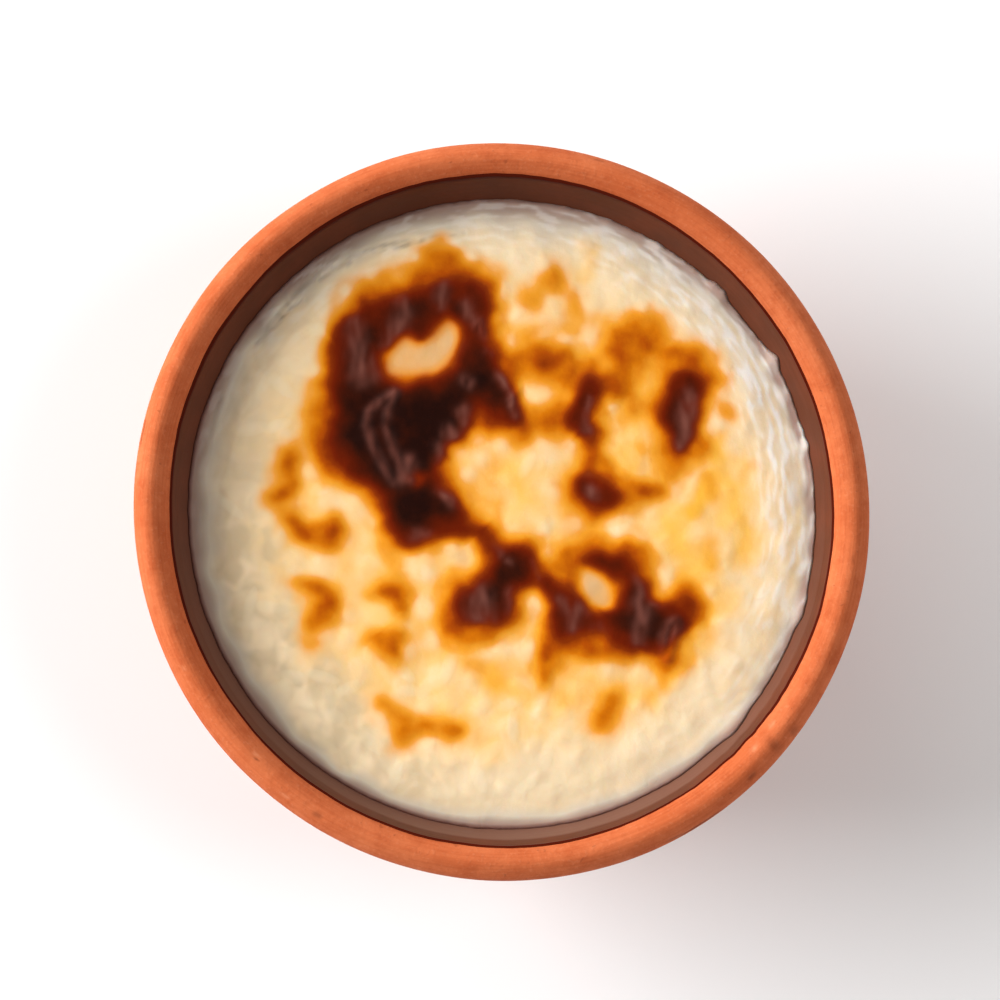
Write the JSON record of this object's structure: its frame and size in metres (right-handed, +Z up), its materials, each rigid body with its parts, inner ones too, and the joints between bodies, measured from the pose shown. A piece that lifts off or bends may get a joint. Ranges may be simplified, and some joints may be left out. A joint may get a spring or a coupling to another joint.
{
  "type": "rice pudding",
  "caption": "Oven-baked rice pudding with a scorched milk skin, set in a small round terracotta dish with a rolled rim and a flat base.",
  "frame": {"origin": "centre of the flat base, on the surface that the dish stands on", "axes": "+Z up through the middle of the dish, out of its mouth; -Y towards the viewer, +X to the viewer's right"},
  "size_m": [0.1196, 0.1204, 0.044],
  "materials": {
    "terracotta": "matt fired clay, unglazed",
    "baked_pudding": "moist cream skin with glossy dark brown scorch marks",
    "inner_glaze": "glossy clear brown glaze over the clay"
  },
  "bodies": {
    "root": {"dish": "terracotta", "pudding": "baked_pudding"}
  },
  "joints": []
}
